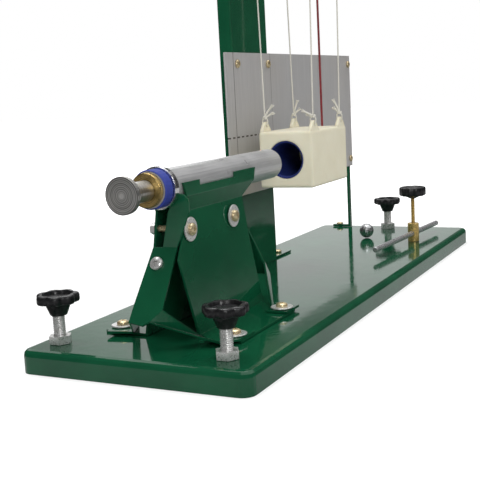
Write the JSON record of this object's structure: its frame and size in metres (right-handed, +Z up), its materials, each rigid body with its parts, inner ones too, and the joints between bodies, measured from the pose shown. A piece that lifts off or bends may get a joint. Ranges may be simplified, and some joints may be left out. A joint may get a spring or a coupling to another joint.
{
  "type": "ballistic pendulum",
  "caption": "Ballistic pendulum on a levelling base: a spring gun on a folded stand fires a ball into a block hung on strings beside a scale plate.",
  "frame": {"origin": "on the table, under the middle of the base", "axes": "+X the firing direction along the base, +Y towards the column and scale plate, +Z up"},
  "size_m": [0.515, 0.16, 0.4175],
  "materials": {
    "enamel": "glossy enamel over folded sheet steel",
    "zinc": "bright zinc plate",
    "black": "moulded",
    "satin": "drawn tube, satin",
    "blue": "fine matt grain",
    "chrome": "polished",
    "brass": "turned, bright",
    "steel": "turned",
    "string": "twisted cord",
    "cream": "moulded, satin",
    "red": "painted rod",
    "scale": "brushed sheet"
  },
  "bodies": {
    "stand_and_base": {"base_plate": "enamel", "level_nut_near_right": "zinc", "level_nut_near_left": "zinc", "level_nut_far": "zinc", "stand_side_right": "enamel", "stand_side_left": "enamel", "stand_panel_near": "enamel", "stand_panel_far": "enamel", "foot_screw_near_right": "zinc", "foot_screw_near_left": "zinc", "foot_screw_far_right": "zinc", "foot_screw_far_left": "zinc", "clamp_bolt_near": "zinc", "clamp_bolt_far": "zinc", "clamp_nut_near": "zinc", "clamp_nut_far": "zinc", "panel_screw": "zinc", "barrel": "satin", "barrel_collar": "chrome", "buffer_ring": "blue", "gland": "brass", "launch_spring": "steel", "column": "enamel", "column_screw_near": "brass", "column_screw_far": "brass", "top_arm": "enamel", "arm_screw_near": "brass", "arm_screw_far": "brass", "string_eye_near_right": "brass", "string_eye_near_left": "brass", "string_eye_far_right": "brass", "string_eye_far_left": "brass", "pointer_eye": "brass", "scale_plate": "scale", "plate_screw_column_near": "brass", "plate_screw_column_far": "brass", "plate_screw_strip_top": "brass", "plate_screw_strip_low": "brass", "support_strip": "enamel", "strip_screw": "brass", "clamp_post": "brass"},
    "plunger": {"pull_knob": "steel", "plunger": "steel"},
    "near_strings": {"string_near_right": "string", "string_near_left": "string"},
    "far_strings": {"string_far_right": "string", "string_far_left": "string"},
    "catch_block": {"catch_block": "cream", "catch_liner": "blue"},
    "pointer": {"pointer": "red"},
    "level_stud_near_right": {"level_stud_near_right": "zinc"},
    "level_knob_near_right": {"level_knob_near_right": "black"},
    "level_stud_near_left": {"level_stud_near_left": "zinc"},
    "level_knob_near_left": {"level_knob_near_left": "black"},
    "level_stud_far": {"level_stud_far": "zinc"},
    "level_knob_far": {"level_knob_far": "black"},
    "thumb_stem": {"thumb_stem": "brass"},
    "thumb_knob": {"thumb_knob": "black"},
    "clamp_rod": {"clamp_rod": "steel"},
    "steel_ball": {"steel_ball": "chrome"}
  },
  "joints": [
    {"name": "plunger_pull", "type": "slide", "parent": "stand_and_base", "child": "plunger", "axis": [-1, 0, 0], "range_m": [0, 0.04], "stiffness_N_per_m": 300, "springref_m": -0.01, "deforming": ["launch_spring"]},
    {"name": "pendulum_swing", "type": "hinge", "parent": "stand_and_base", "child": "near_strings", "pos_m": [-0.007, 0, 0.4077], "axis": [0, -1, 0], "range_deg": [0, 40]},
    {"name": "far_strings_swing", "type": "hinge", "parent": "stand_and_base", "child": "far_strings", "pos_m": [0.052, 0, 0.4077], "axis": [0, -1, 0], "range_deg": [0, 40]},
    {"name": "block_level", "type": "hinge", "parent": "near_strings", "child": "catch_block", "pos_m": [-0.007, 0, 0.1372], "axis": [0, -1, 0], "range_deg": [-40, 0]},
    {"name": "pointer_swing", "type": "hinge", "parent": "stand_and_base", "child": "pointer", "pos_m": [0.0645, 0, 0.4077], "axis": [0, -1, 0], "range_deg": [0, 40]},
    {"name": "level_lift_near_right", "type": "slide", "parent": "stand_and_base", "child": "level_stud_near_right", "axis": [0, 0, -1], "range_m": [0, 0.0101]},
    {"name": "level_turn_near_right", "type": "hinge", "parent": "level_stud_near_right", "child": "level_knob_near_right", "pos_m": [-0.236, -0.0557, 0.047], "axis": [0, 0, -1], "range_deg": [0, 2880]},
    {"name": "level_lift_near_left", "type": "slide", "parent": "stand_and_base", "child": "level_stud_near_left", "axis": [0, 0, -1], "range_m": [0, 0.0101]},
    {"name": "level_turn_near_left", "type": "hinge", "parent": "level_stud_near_left", "child": "level_knob_near_left", "pos_m": [-0.236, 0.0633, 0.047], "axis": [0, 0, -1], "range_deg": [0, 2880]},
    {"name": "level_lift_far", "type": "slide", "parent": "stand_and_base", "child": "level_stud_far", "axis": [0, 0, -1], "range_m": [0, 0.0101]},
    {"name": "level_turn_far", "type": "hinge", "parent": "level_stud_far", "child": "level_knob_far", "pos_m": [0.2405, 0, 0.047], "axis": [0, 0, -1], "range_deg": [0, 2880]},
    {"name": "thumb_lift", "type": "slide", "parent": "stand_and_base", "child": "thumb_stem", "axis": [0, 0, 1], "range_m": [0, 0.00425]},
    {"name": "thumb_turn", "type": "hinge", "parent": "thumb_stem", "child": "thumb_knob", "pos_m": [0.166, -0.0493, 0.0676], "axis": [0, 0, 1], "range_deg": [0, 2160]},
    {"name": "rod_slide", "type": "slide", "parent": "stand_and_base", "child": "clamp_rod", "axis": [0.9973, -0.0732, 0], "range_m": [-0.03, 0.03]},
    {"name": "ball_lift", "type": "slide", "parent": "stand_and_base", "child": "steel_ball", "axis": [0, 0, 1], "range_m": [0, 0.05]}
  ],
  "couplings": [
    {"joint": "far_strings_swing", "follows": "pendulum_swing", "ratio": 1},
    {"joint": "block_level", "follows": "pendulum_swing", "ratio": -1},
    {"joint": "pointer_swing", "follows": "pendulum_swing", "ratio": 1},
    {"joint": "level_lift_near_right", "follows": "level_turn_near_right", "m_per_rad": 0.00019894},
    {"joint": "level_lift_near_left", "follows": "level_turn_near_left", "m_per_rad": 0.00019894},
    {"joint": "level_lift_far", "follows": "level_turn_far", "m_per_rad": 0.00019894},
    {"joint": "thumb_lift", "follows": "thumb_turn", "m_per_rad": 0.00011141}
  ]
}
